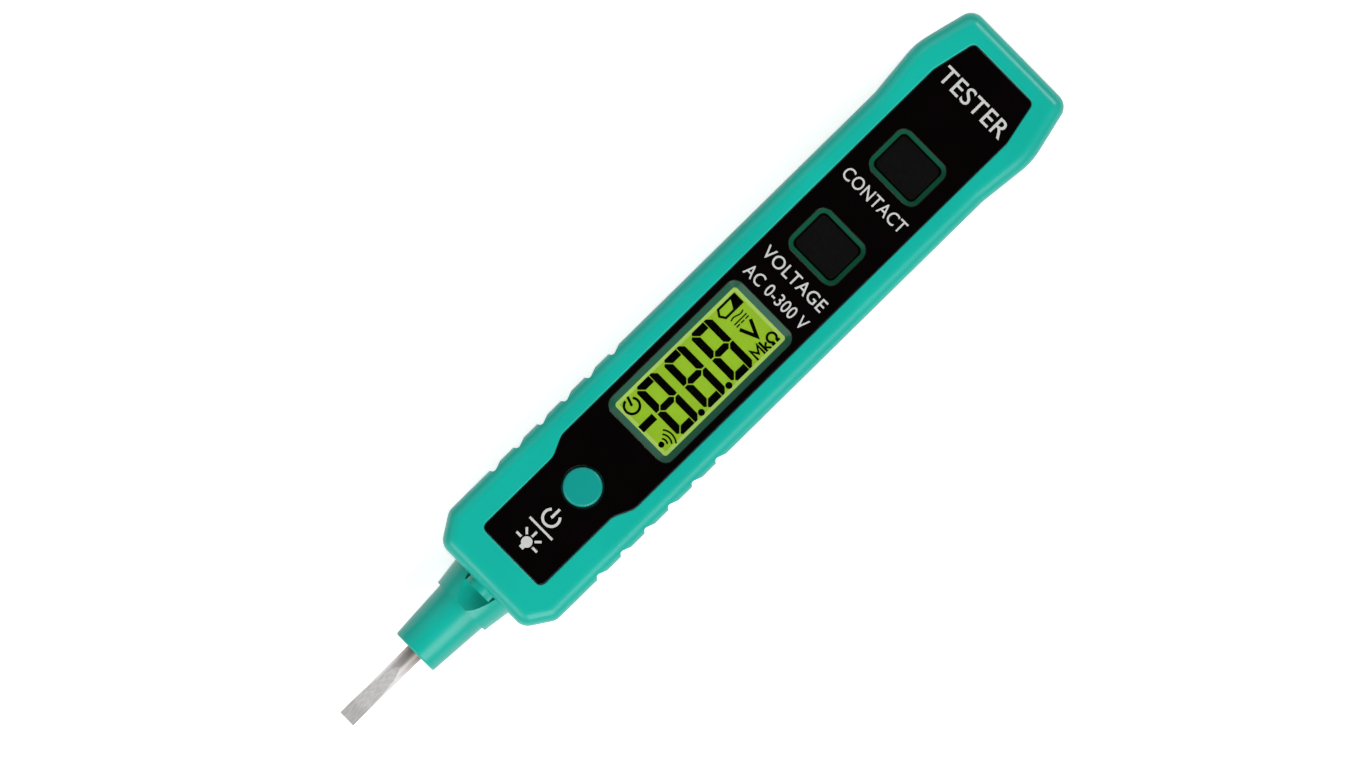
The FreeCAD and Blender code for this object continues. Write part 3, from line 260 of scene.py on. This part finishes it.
def plainFinish(name, tones, grainMm, depthMm, roughness, metallic=0.0, stretch=(1, 1, 1), **settings):
    # grainMm is the real lump size, or the smallest that still shows where the real one is finer
    material, tree, shader = startMaterial(name, tones[-1][1], metallic, roughness[0], **settings)
    dress(tree, shader, grainPattern(tree, grainMm, stretch), tones, roughness, depthMm)
    return material


board = {"field": "#0c4a2a", "bare": "#0e5230", "track": "#1c7040", "pitchMm": 1.6, "trackShare": 0.11,
         "depthMm": 0.035}


def solderMask():
    # green solder mask over copper tracks: raised lines a shade lighter than the field
    material, tree, shader = startMaterial("green solder mask", board["field"], roughness=0.35)
    lanes = addNode(tree, "ShaderNodeTexBrick", {"Vector": positions(tree)},
                    {"Scale": 1 / (board["pitchMm"] * mm), "Mortar Size": board["trackShare"],
                     "Mortar Smooth": 0.2, "Brick Width": 3.0, "Row Height": 0.6,
                     "Color1": linear(board["field"]), "Color2": linear(board["bare"]),
                     "Mortar": linear(board["track"])})
    tree.links.new(lanes.outputs["Color"], shader.inputs["Base Color"])
    dress(tree, shader, lanes.outputs["Fac"], depthMm=board["depthMm"])
    return material


zebra = {"carbon": "#131313", "clear": "#c9c2b0", "depthMm": 0.02,
         "pairMm": 0.754}    # real pairs of layers are about 0.18 mm, drawn coarser so that they show


def layeredRubber():
    # elastomer connector, carbon-filled layers between clear ones: fine black and cream stripes
    material, tree, shader = startMaterial("layered contact rubber", zebra["carbon"], roughness=0.7)
    perWave = math.pi / 10    # a wave texture's period at scale 1
    layers = addNode(tree, "ShaderNodeTexWave", {"Vector": positions(tree)},
                     {"Scale": perWave / (zebra["pairMm"] * mm)}, bands_direction="X")
    dress(tree, shader, layers.outputs[0], [(0.4, zebra["carbon"]), (0.6, zebra["clear"])],
          depthMm=zebra["depthMm"])
    return material


cell = {
    "can": "#c8c8c6", "bronze": "#b0793a", "band": "#e6e4dc", "film": "#17191c", "lengthMm": 44.5,
    "bronzeFrom": 0.035, "bandFrom": 0.3, "filmFrom": 0.315, "footFrom": 0.965,    # shares of the length
    "wrinkleMm": 1.2, "wrinkleStretch": 0.2, "depthMm": 0.01, "roughness": (0.24, 0.36),
}


def cellSleeve(name, crownX, towards):
    # shrink film over a steel can: satin black body, bronze crown end with a pale band
    material, tree, shader = startMaterial(name, cell["film"])
    axes = addNode(tree, "ShaderNodeSeparateXYZ", {"Vector": positions(tree)})
    along = addNode(tree, "ShaderNodeMapRange", {"Value": axes.outputs[0]},
                    {"From Min": crownX, "From Max": crownX + towards * cell["lengthMm"] * mm})
    wrap = addNode(tree, "ShaderNodeValToRGB", {"Fac": along.outputs[0]},
                   stops=[(0.0, cell["can"]), (cell["footFrom"], cell["can"]),
                          (cell["bronzeFrom"], cell["bronze"]), (cell["bandFrom"], cell["band"]),
                          (cell["filmFrom"], cell["film"])])
    wrap.color_ramp.interpolation = "CONSTANT"
    tree.links.new(wrap.outputs["Color"], shader.inputs["Base Color"])
    wrinkles = grainPattern(tree, cell["wrinkleMm"], (cell["wrinkleStretch"], 1, 1))
    dress(tree, shader, wrinkles, roughness=cell["roughness"], depthMm=cell["depthMm"])
    return material


casingAbs = tealAbs("moulded teal ABS", absSkin["light"], absSkin["dark"], absSkin["well"])
buttonAbs = tealAbs("moulded button ABS", absSkin["buttonLight"], absSkin["buttonDark"])
paleInk = screenInk("white screen ink", thin="#b4b7b5", thick="#cfd1ce", meshMm=0.16, filmMm=0.003)
darkInk = screenInk("lcd black segment", thin="#020301", thick="#040602", meshMm=0.3, filmMm=0.0002,
                    Specular_IOR_Level=0.02)
finishes = {
    # carbon-filled silicone: soft deep black with hardly any glint
    "silicone": plainFinish("conductive silicone", [(0.3, "#030203"), (0.7, "#060406")], grainMm=0.5,
                            depthMm=0.006, roughness=(0.42, 0.56), Specular_IOR_Level=0.12),
    # closed-cell foam: dead matt, with open pores
    "foam": plainFinish("black gasket foam", [(0.35, "#050505"), (0.6, "#17191a")], grainMm=0.35,
                        depthMm=0.08, roughness=(0.9, 1.0)),
    # moulded acetal: milky, faintly glossy, with light bleeding into its edges
    "milky": plainFinish("white acetal moulding", [(0.3, "#dfe2de"), (0.7, "#eef0ec")], grainMm=0.6,
                         depthMm=0.01, roughness=(0.35, 0.5), Subsurface_Weight=0.1),
    # moulded acrylic light guide: clear, with a cool haze and polished faces
    "guide": plainFinish("clear light guide", [(0.3, "#eef4e6"), (0.7, "#f6faef")], grainMm=0.8,
                         depthMm=0.004, roughness=(0.08, 0.14), Transmission_Weight=0.7, IOR=1.49),
    # cast epoxy dome: water-clear with a faint haze at its core
    "led": plainFinish("cast led epoxy", [(0.3, "#eef2f3"), (0.7, "#ffffff")], grainMm=2.0,
                       depthMm=0.003, roughness=(0.03, 0.08), Transmission_Weight=0.85, IOR=1.54),
    # phosphor set in silicone: flat chalky yellow
    "phosphor": plainFinish("phosphor chip", [(0.3, "#d8c53a"), (0.7, "#efe27a")], grainMm=0.2,
                            depthMm=0.01, roughness=(0.4, 0.6)),
    # transfer-moulded epoxy: charcoal, slightly speckled by its filler
    "epoxy": plainFinish("black moulding epoxy", [(0.3, "#141516"), (0.7, "#232425")], grainMm=0.12,
                         depthMm=0.01, roughness=(0.55, 0.75)),
    # fired ceramic: biscuit brown, matt and faintly mottled
    "ceramic": plainFinish("fired ceramic chip", [(0.3, "#8d7556"), (0.7, "#b39a74")], grainMm=0.15,
                           depthMm=0.006, roughness=(0.45, 0.6)),
    # glass glaze over a resistive film: blue-black with a soft glassy skin
    "glaze": plainFinish("glazed resistor", [(0.3, "#10171f"), (0.7, "#1d2733")], grainMm=0.2,
                         depthMm=0.004, roughness=(0.3, 0.42)),
    # hot-dipped tin: soft grey mirror with a frosty skin
    "tinned": plainFinish("tinned copper", [(0.3, "#bdbfc0"), (0.7, "#dcdedd")], grainMm=0.2,
                          depthMm=0.004, roughness=(0.25, 0.4), metallic=1.0),
    # nickel-plated strip and wire: warmer and brighter than bare steel, drawn along its length
    "spring": plainFinish("nickel-plated spring steel", [(0.3, "#b9b2a4"), (0.7, "#d3ccbd")], grainMm=0.25,
                          depthMm=0.003, roughness=(0.2, 0.34), metallic=1.0, stretch=(0.2, 1, 1)),
    # bright zinc plate: bluish, slightly cloudy
    "zinc": plainFinish("zinc-plated steel", [(0.3, "#9da3a8"), (0.7, "#c6ccd0")], grainMm=0.4,
                        depthMm=0.004, roughness=(0.28, 0.44), metallic=1.0),
    # moulded nylon: dull black with a slight orange peel
    "nylon": plainFinish("black nylon", [(0.3, "#0f0f10"), (0.7, "#1b1b1c")], grainMm=0.3,
                         depthMm=0.006, roughness=(0.45, 0.6)),
    # dipped lacquer: pale blue, smooth, pooled a little unevenly
    "lacquer": plainFinish("resistor lacquer", [(0.35, "#a9cfe0"), (0.7, "#bcdcea")], grainMm=0.5,
                           depthMm=0.006, roughness=(0.3, 0.42)),
}
finishOf = {
    "front_shell": casingAbs, "rear_shell": casingAbs, "battery_cover": casingAbs, "nose_sleeve": casingAbs,
    "power_button": buttonAbs, "blade": groundSteel(), "faceplate": blackLabel(),
    "display_window": clearAcrylic(), "lcd_panel": litGlass(), "contact_strips": layeredRubber(),
    "main_board": solderMask(), "voltage_pad": finishes["silicone"], "continuity_pad": finishes["silicone"],
    "display_gasket": finishes["foam"], "display_frame": finishes["milky"],
    "backlight_guide": finishes["guide"], "backlight_leds": finishes["phosphor"],
    "controller_chip": finishes["epoxy"], "controller_pins": finishes["tinned"],
    "board_capacitors": finishes["ceramic"], "board_resistors": finishes["glaze"],
    "crystal": finishes["zinc"], "safety_resistor": finishes["lacquer"], "buzzer": finishes["epoxy"],
    "tact_switch": finishes["nylon"], "tact_plunger": finishes["nylon"], "probe_contact": finishes["spring"],
    "torch_led": finishes["led"], "torch_led_leads": finishes["tinned"],
    "battery_left": cellSleeve("shrink-wrapped cell left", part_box("battery_left")[0].x, 1),
    "battery_right": cellSleeve("shrink-wrapped cell right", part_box("battery_right")[1].x, -1),
    "battery_spring_front": finishes["spring"], "battery_spring_rear": finishes["spring"],
    "battery_plate_positive": finishes["spring"], "battery_plate_negative": finishes["spring"],
    "battery_link_plate": finishes["spring"], "shell_screws": finishes["zinc"],
    "board_screws": finishes["zinc"], "voltage_pad_spring": finishes["spring"],
    "continuity_pad_spring": finishes["spring"],
}
for name, node in nodes.items():
    node.data.materials.clear()
    node.data.materials.append(finishOf[name])
print("materials on every carried-over part:", len(finishOf))


# thin flat pieces: outlines in millimetres, raised into a film

filmThick = 0.02


def place(name, mesh, material):
    mesh.materials.clear()
    mesh.materials.append(material)
    piece = addObject(name, mesh)
    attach(piece, "casing")
    return piece


def ring(centre, radius, start=0.0, end=360.0, steps=40):
    span = end - start
    count = steps if span == 360 else steps + 1
    return [(centre[0] + radius * math.cos(math.radians(start + span * i / steps)),
             centre[1] + radius * math.sin(math.radians(start + span * i / steps))) for i in range(count)]


def lineSides(points, width, closed):    # the two edges of a drawn line, its corners mitred
    left, right = [], []
    last = len(points) - 1
    for i, point in enumerate(points):
        here = Vector(point)
        before = here - Vector(points[i - 1]) if i or closed else None
        after = Vector(points[(i + 1) % len(points)]) - here if i < last or closed else None
        before, after = before or after, after or before
        across = before.normalized() + after.normalized()
        across = Vector((-across.y, across.x)).normalized()
        square = Vector((-before.y, before.x)).normalized()
        reach = width / 2 / max(across.dot(square), 0.4)    # sharp corners stay short
        left.append(here + across * reach)
        right.append(here - across * reach)
    return left, right


def flatPiece(name, level, material, fills=(), strokes=()):    # a stroke is points, width, closed
    work = bmesh.new()
    for points in fills:
        work.faces.new([work.verts.new((x, y, 0)) for x, y in points])
    for points, width, closed in strokes:
        left, right = [[work.verts.new((p.x, p.y, 0)) for p in side] for side in lineSides(points, width, closed)]
        for i in range(len(points) if closed else len(points) - 1):
            j = (i + 1) % len(points)
            work.faces.new((right[i], right[j], left[j], left[i]))
    grown = bmesh.ops.extrude_face_region(work, geom=work.faces[:])
    lifted = [part for part in grown["geom"] if isinstance(part, bmesh.types.BMVert)]
    bmesh.ops.translate(work, verts=lifted, vec=(0, 0, filmThick))
    bmesh.ops.recalc_face_normals(work, faces=work.faces[:])
    mesh = bpy.data.meshes.new(name)
    work.to_mesh(mesh)
    work.free()
    mesh.transform(Matrix.Translation((0, 0, level)) @ Matrix.Scale(mm, 4))
    return place(name, mesh, material)


def meshFrom(curve):
    source = addObject(curve.name + ".source", curve)
    bpy.context.view_layer.update()
    mesh = bpy.data.meshes.new_from_object(source.evaluated_get(bpy.context.evaluated_depsgraph_get()))
    bpy.data.objects.remove(source)
    return mesh


def powerSign(name, level, material, sign):
    flatPiece(name, level, material,
              strokes=[(ring(sign["middle"], sign["radius"], *sign["opening"], 36), sign["line"], False),
                       ([sign["middle"], sign["tip"]], sign["line"], False)])


# printing on the faceplate

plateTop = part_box("faceplate")[1].z
lettering = {"turn": -90, "weight": 0.006, "gap": 1.05}
words = {    # x is the middle along the pen
    "range_words": {"letters": "AC 0-300 V", "x": 20.6, "height": 2.15, "length": 13.3},
    "volts_word": {"letters": "VOLTAGE", "x": 24.7, "height": 2.2, "length": 13.3},
    "contact_word": {"letters": "CONTACT", "x": 42.5, "height": 2.2, "length": 13.3},
    "title_word": {"letters": "TESTER", "x": 64.6, "height": 3.0, "length": 14.0},
}


def wordPiece(name, word):
    curve = bpy.data.curves.new(name, "FONT")
    curve.body = word["letters"]
    curve.offset = lettering["weight"]
    curve.space_character = lettering["gap"]
    curve.extrude = 0.5
    curve.resolution_u = 4
    mesh = meshFrom(curve)
    corners = [Vector(v.co) for v in mesh.vertices]
    low = Vector([min(c[axis] for c in corners) for axis in range(3)])
    high = Vector([max(c[axis] for c in corners) for axis in range(3)])
    size = high - low
    fit = Matrix.Diagonal((word["length"] / size.x, word["height"] / size.y, filmThick / size.z, 1))
    spin = Matrix.Rotation(math.radians(lettering["turn"]), 4, "Z")
    home = Matrix.Translation((word["x"], 0, filmThick / 2))
    mesh.transform(home @ spin @ fit @ Matrix.Translation(-(low + high) / 2))
    mesh.transform(Matrix.Translation((0, 0, plateTop)) @ Matrix.Scale(mm, 4))
    return place(name, mesh, paleInk)


for name, word in words.items():
    wordPiece(name, word)

torch = {"middle": (-34.92, 0), "radius": 0.92, "glass": 140, "line": 0.4,
         "cap": [(-35.75, 0.42), (-36.25, 0.42), (-36.25, -0.42), (-35.75, -0.42)],
         "sideRay": (1.25, 2.3), "slantRay": ((-34.05, 0.87), (-33.25, 1.67)), "frontRay": (-33.75, -32.65)}
bulbX = torch["middle"][0]
rays = [[(bulbX, side * y) for y in torch["sideRay"]] for side in (-1, 1)]
rays += [[(x, side * y) for x, y in torch["slantRay"]] for side in (-1, 1)]
rays += [[(x, 0) for x in torch["frontRay"]]]
flatPiece("torch_mark", plateTop, paleInk,
          fills=[ring(torch["middle"], torch["radius"], -torch["glass"], torch["glass"], 28) + torch["cap"]],
          strokes=[(ray, torch["line"], False) for ray in rays])

divider = {"points": [(-31.8, -2.6), (-31.8, 2.5)], "line": 0.38}
flatPiece("divider_mark", plateTop, paleInk, strokes=[(divider["points"], divider["line"], False)])

platePower = {"middle": (-29.46, 0), "radius": 1.38, "opening": (42, 318), "line": 0.45, "tip": (-27.55, 0)}
powerSign("power_mark", plateTop, paleInk, platePower)
print("faceplate printing placed")


# what the display shows

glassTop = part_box("lcd_panel")[1].z
digit = {"width": 4.65, "height": 10.5, "bar": 1.3, "gap": 0.12, "corner": 0.75,
         "lefts": (-5.95, 0.12, 6.19), "foot": -5.21}


def digitSegments(left, foot):
    wide, high, bar, gap, corner = (digit[key] for key in ("width", "height", "bar", "gap", "corner"))
    half = high / 2
    upper = [
        [(corner, high), (wide - bar - gap / 2, high), (wide - bar - gap / 2, high - bar),
         (bar + gap, high - bar), (corner / 2 + gap, high - corner / 2)],
        [(0, high - corner), (corner / 2, high - corner / 2 - gap), (bar, high - bar - gap),
         (bar, half + bar / 2 + gap), (bar / 2, half + gap), (0, half + gap)],
        [(wide - bar + gap / 2, high), (wide - corner, high), (wide, high - corner), (wide, half + gap),
         (wide - bar / 2, half + gap), (wide - bar + gap / 2, half + bar / 2 + gap)],
    ]
    lower = [[(x, high - y) for x, y in reversed(points)] for points in upper]
    middle = [[(bar / 2 + gap, half), (bar + gap / 2, half + bar / 2 - gap / 2),
               (wide - bar - gap / 2, half + bar / 2 - gap / 2), (wide - bar / 2 - gap, half),
               (wide - bar - gap / 2, half - bar / 2 + gap / 2), (bar + gap / 2, half - bar / 2 + gap / 2)]]
    return [[(left + x, foot + y) for x, y in points] for points in upper + lower + middle]


def segmentPiece(name, fills=(), strokes=()):
    flatPiece(name, glassTop, darkInk, fills, strokes)


for count, left in enumerate(digit["lefts"]):
    segmentPiece(f"lcd_digit_{count + 1}", digitSegments(left, digit["foot"]))

points = {"xs": (-0.73, 5.38), "y": -4.76, "radius": 0.57}
segmentPiece("lcd_points", [ring((x, points["y"]), points["radius"], steps=20) for x in points["xs"]])

minus = {"left": -9.5, "right": -6.5, "half": 0.64}
segmentPiece("lcd_minus", [[(minus["left"], -minus["half"]), (minus["right"], -minus["half"]),
                            (minus["right"], minus["half"]), (minus["left"], minus["half"])]])

screenPower = {"middle": (-7.88, 3.7), "radius": 1.28, "opening": (100, 400), "line": 0.42, "tip": (-7.35, 5.25)}
powerSign("lcd_power", glassTop, darkInk, screenPower)

sound = {"middle": (-8.85, -3.95), "dot": 0.5, "waves": (0.95, 1.65, 2.35), "spread": 40, "line": 0.3}
segmentPiece("lcd_sound", [ring(sound["middle"], sound["dot"], steps=18)],
             [(ring(sound["middle"], radius, -sound["spread"], sound["spread"], 10), sound["line"], False)
              for radius in sound["waves"]])

charge = {"outline": [(11.95, 4.1), (12.55, 5.0), (16.15, 5.0), (16.15, 3.2), (12.55, 3.2)], "line": 0.4,
          "left": [(14.3, 3.3), (16.1, 3.3), (16.1, 4.9), (15.2, 4.9)]}
segmentPiece("lcd_cell", [charge["left"]], [(charge["outline"], charge["line"], True)])

kinds = {"line": 0.24, "waveLeft": 12.75, "waveLength": 2.65, "waveY": 2.25, "waveRise": 0.16, "waveSteps": 20,
         "bar": [(12.7, 1.45), (15.4, 1.45)], "dashes": (12.7, 13.68, 14.65), "dashY": 0.95, "dash": 0.75}
wave = [(kinds["waveLeft"] + kinds["waveLength"] * i / kinds["waveSteps"],
         kinds["waveY"] + kinds["waveRise"] * math.sin(i / kinds["waveSteps"] * 2 * math.pi))
        for i in range(kinds["waveSteps"] + 1)]
dashes = [[(x, kinds["dashY"]), (x + kinds["dash"], kinds["dashY"])] for x in kinds["dashes"]]
segmentPiece("lcd_kinds", strokes=[(line, kinds["line"], False) for line in [wave, kinds["bar"]] + dashes])

volt = {"points": [(12.8, 0.36), (14.0, -2.3), (15.2, 0.36)], "line": 0.6}
segmentPiece("lcd_volt", strokes=[(volt["points"], volt["line"], False)])

units = {"mega": [(11.55, -5.2), (11.55, -3.3), (12.3, -4.5), (13.05, -3.3), (13.05, -5.2)], "megaLine": 0.38,
         "kiloStem": [(13.55, -5.2), (13.55, -3.2)], "kiloArms": [(14.4, -3.95), (13.72, -4.5), (14.45, -5.2)],
         "armLine": 0.36, "ohm": (15.55, -4.1), "ohmRadius": 0.78, "ohmOpening": (240, -60),
         "ohmFeet": (14.75, 15.2, 15.9, 16.35), "footY": -5.05, "line": 0.4}
feet = [(x, units["footY"]) for x in units["ohmFeet"]]
arch = ring(units["ohm"], units["ohmRadius"], *units["ohmOpening"], steps=24)
segmentPiece("lcd_ohm", strokes=[
    (feet[:2] + arch + feet[2:], units["line"], False),
    (units["mega"], units["megaLine"], False),
    (units["kiloStem"], units["line"], False),
    (units["kiloArms"], units["armLine"], False)])
print("display contents placed")


# key return springs, drawn as wire coils in place of the carried-over ones

coil = {"wireMm": 0.15, "turns": 4, "steps": 28, "travelMm": 0.4}    # wireMm is the wire's radius


def keySpring(node):
    low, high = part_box(node)
    wire = coil["wireMm"] * mm
    centre = (low + high) / 2
    radius = (high.x - low.x) / 2 - wire
    curve = bpy.data.curves.new(node + "_coil", "CURVE")
    curve.dimensions = "3D"
    curve.bevel_depth = wire
    curve.bevel_resolution = 3
    curve.use_fill_caps = True
    line = curve.splines.new("POLY")
    count = coil["turns"] * coil["steps"]
    line.points.add(count)
    for i in range(count + 1):
        angle = 2 * math.pi * i / coil["steps"]
        rise = low.z + wire + (high.z - low.z - 2 * wire) * i / count
        line.points[i].co = (centre.x + radius * math.cos(angle), centre.y + radius * math.sin(angle), rise, 1)
    mesh = meshFrom(curve)
    mesh.shade_smooth()
    piece = place(node + "_coil", mesh, finishes["spring"])
    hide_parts(node)
    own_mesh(piece)


keySpring("voltage_pad_spring")
keySpring("continuity_pad_spring")
print("springs placed")


# floor, light and camera

floor = {"half": 1.5, "colour": "#f6f7f6", "dull": "#f3f4f3", "pale": "#f8f9f8", "fibreMm": 3.0, "glow": 0.6,
         "gapMm": 0.02}


def paperSweep():
    # matt white paper: an even pale ground, with a little glow of its own like a lit background
    material, tree, shader = startMaterial("white paper sweep", floor["colour"], roughness=0.9)
    dress(tree, shader, grainPattern(tree, floor["fibreMm"]), [(0.3, floor["dull"]), (0.7, floor["pale"])])
    shader.inputs["Emission Color"].default_value = (1, 1, 1, 1)
    shader.inputs["Emission Strength"].default_value = floor["glow"]
    return material


reach = floor["half"]
sheet = bpy.data.meshes.new("studio_floor")
sheet.from_pydata([(-reach, -reach, 0), (reach, -reach, 0), (reach, reach, 0), (-reach, reach, 0)], [],
                  [(0, 1, 2, 3)])
sheet.materials.append(paperSweep())
ground = addObject("studio_floor", sheet)
ground.location.z = cadBox[0][2] - floor["gapMm"] * mm
ground.visible_diffuse = False    # its bounce would flatten the casing's rounded edges

dome = {"horizon": "#808080", "middle": "#ffffff", "top": "#1c1c1c", "middleAt": 0.45, "topAt": 0.9,
        "strength": 0.55}    # the dark top keeps the upward faces' colour deep
sky = bpy.data.worlds.new("studio")
scene.world = sky
sky.use_nodes = True
tree = sky.node_tree
aim = addNode(tree, "ShaderNodeTexCoord").outputs["Generated"]
lift = addNode(tree, "ShaderNodeSeparateXYZ", {"Vector": aim}).outputs[2]
shades = addNode(tree, "ShaderNodeValToRGB", {"Fac": lift},
                 stops=[(0.0, dome["horizon"]), (dome["topAt"], dome["top"]), (dome["middleAt"], dome["middle"])])
tree.links.new(shades.outputs["Color"], tree.nodes["Background"].inputs["Color"])
tree.nodes["Background"].inputs["Strength"].default_value = dome["strength"]

lamps = {    # place and size in metres
    "soft_key": {"place": (-0.35, -0.75, 0.75), "size": 0.7, "watts": 7.5},
    "soft_fill": {"place": (0.4, 0.7, 0.8), "size": 0.8, "watts": 2.0},
    "bright_end": {"place": (1.0, -0.12, 0.75), "size": 0.3, "watts": 4.5},
    "soft_front": {"place": (-0.9, 0.1, 0.6), "size": 0.6, "watts": 3.5},
}
for name, lamp in lamps.items():
    light = bpy.data.lights.new(name, "AREA")
    light.shape = "SQUARE"
    light.size = lamp["size"]
    light.energy = lamp["watts"]
    stand = addObject(name, light)
    stand.location = lamp["place"]
    stand.rotation_euler = (-Vector(lamp["place"])).to_track_quat("-Z", "Y").to_euler()

view = {"width": 0.21583, "turn": -44.49, "middle": (0.0, 0.84), "height": 0.5}    # middle in millimetres
lens = bpy.data.cameras.new("camera")
lens.type = "ORTHO"
lens.ortho_scale = view["width"]
eye = addObject("camera", lens)
eye.location = (view["middle"][0] * mm, view["middle"][1] * mm, view["height"])
eye.rotation_euler = (0, 0, math.radians(view["turn"]))
scene.camera = eye
scene.view_settings.view_transform = "Standard"
print("studio ready")
